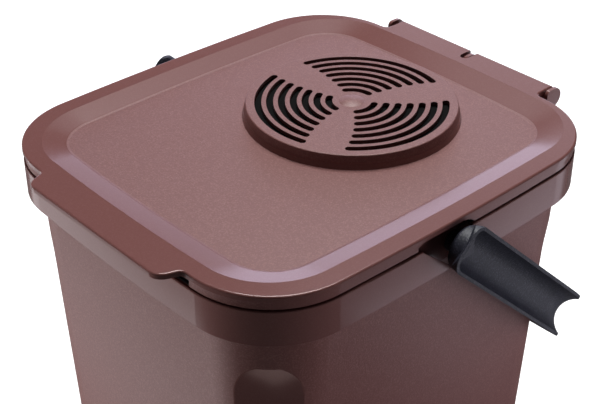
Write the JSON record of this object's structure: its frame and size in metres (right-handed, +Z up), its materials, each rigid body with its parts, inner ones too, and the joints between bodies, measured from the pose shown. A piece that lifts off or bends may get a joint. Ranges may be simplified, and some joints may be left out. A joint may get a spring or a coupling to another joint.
{
  "type": "organic waste bin",
  "caption": "Tapering kitchen bin for organic waste, with a hinged lid, a slotted vent cap over a charcoal pad and a bail handle that swings over the top.",
  "frame": {"origin": "on the floor under the middle of the bin, half way between the front tab and the hinge lugs", "axes": "+X to the right, +Y to the hinge at the back, +Z up"},
  "size_m": [0.252, 0.284, 0.2756],
  "materials": {
    "bin_plastic": "satin with fine metallic flecks",
    "handle_plastic": "fine grained satin",
    "seal_rubber": "matte",
    "charcoal_fleece": "matte",
    "pin_steel": "drawn"
  },
  "bodies": {
    "tub": {"bin_body": "bin_plastic", "hinge_pin": "pin_steel"},
    "lid": {"lid": "bin_plastic", "lid_seal": "seal_rubber", "charcoal_filter": "charcoal_fleece"},
    "vent_cap": {"filter_cover": "bin_plastic"},
    "handle": {"handle": "handle_plastic", "handle_pin_left": "handle_plastic", "handle_pin_right": "handle_plastic"}
  },
  "joints": [
    {"name": "lid_hinge", "type": "hinge", "parent": "tub", "child": "lid", "pos_m": [0, 0.1362, 0.265], "axis": [-1, 0, 0], "range_deg": [0, 105]},
    {"name": "vent_cap_turn", "type": "hinge", "parent": "lid", "child": "vent_cap", "pos_m": [0, 0.0354, 0.2665], "axis": [0, 0, 1], "range_deg": [0, 30]},
    {"name": "handle_swing", "type": "hinge", "parent": "tub", "child": "handle", "pos_m": [0, 0, 0.252], "axis": [1, 0, 0], "range_deg": [0, 264.6]}
  ]
}
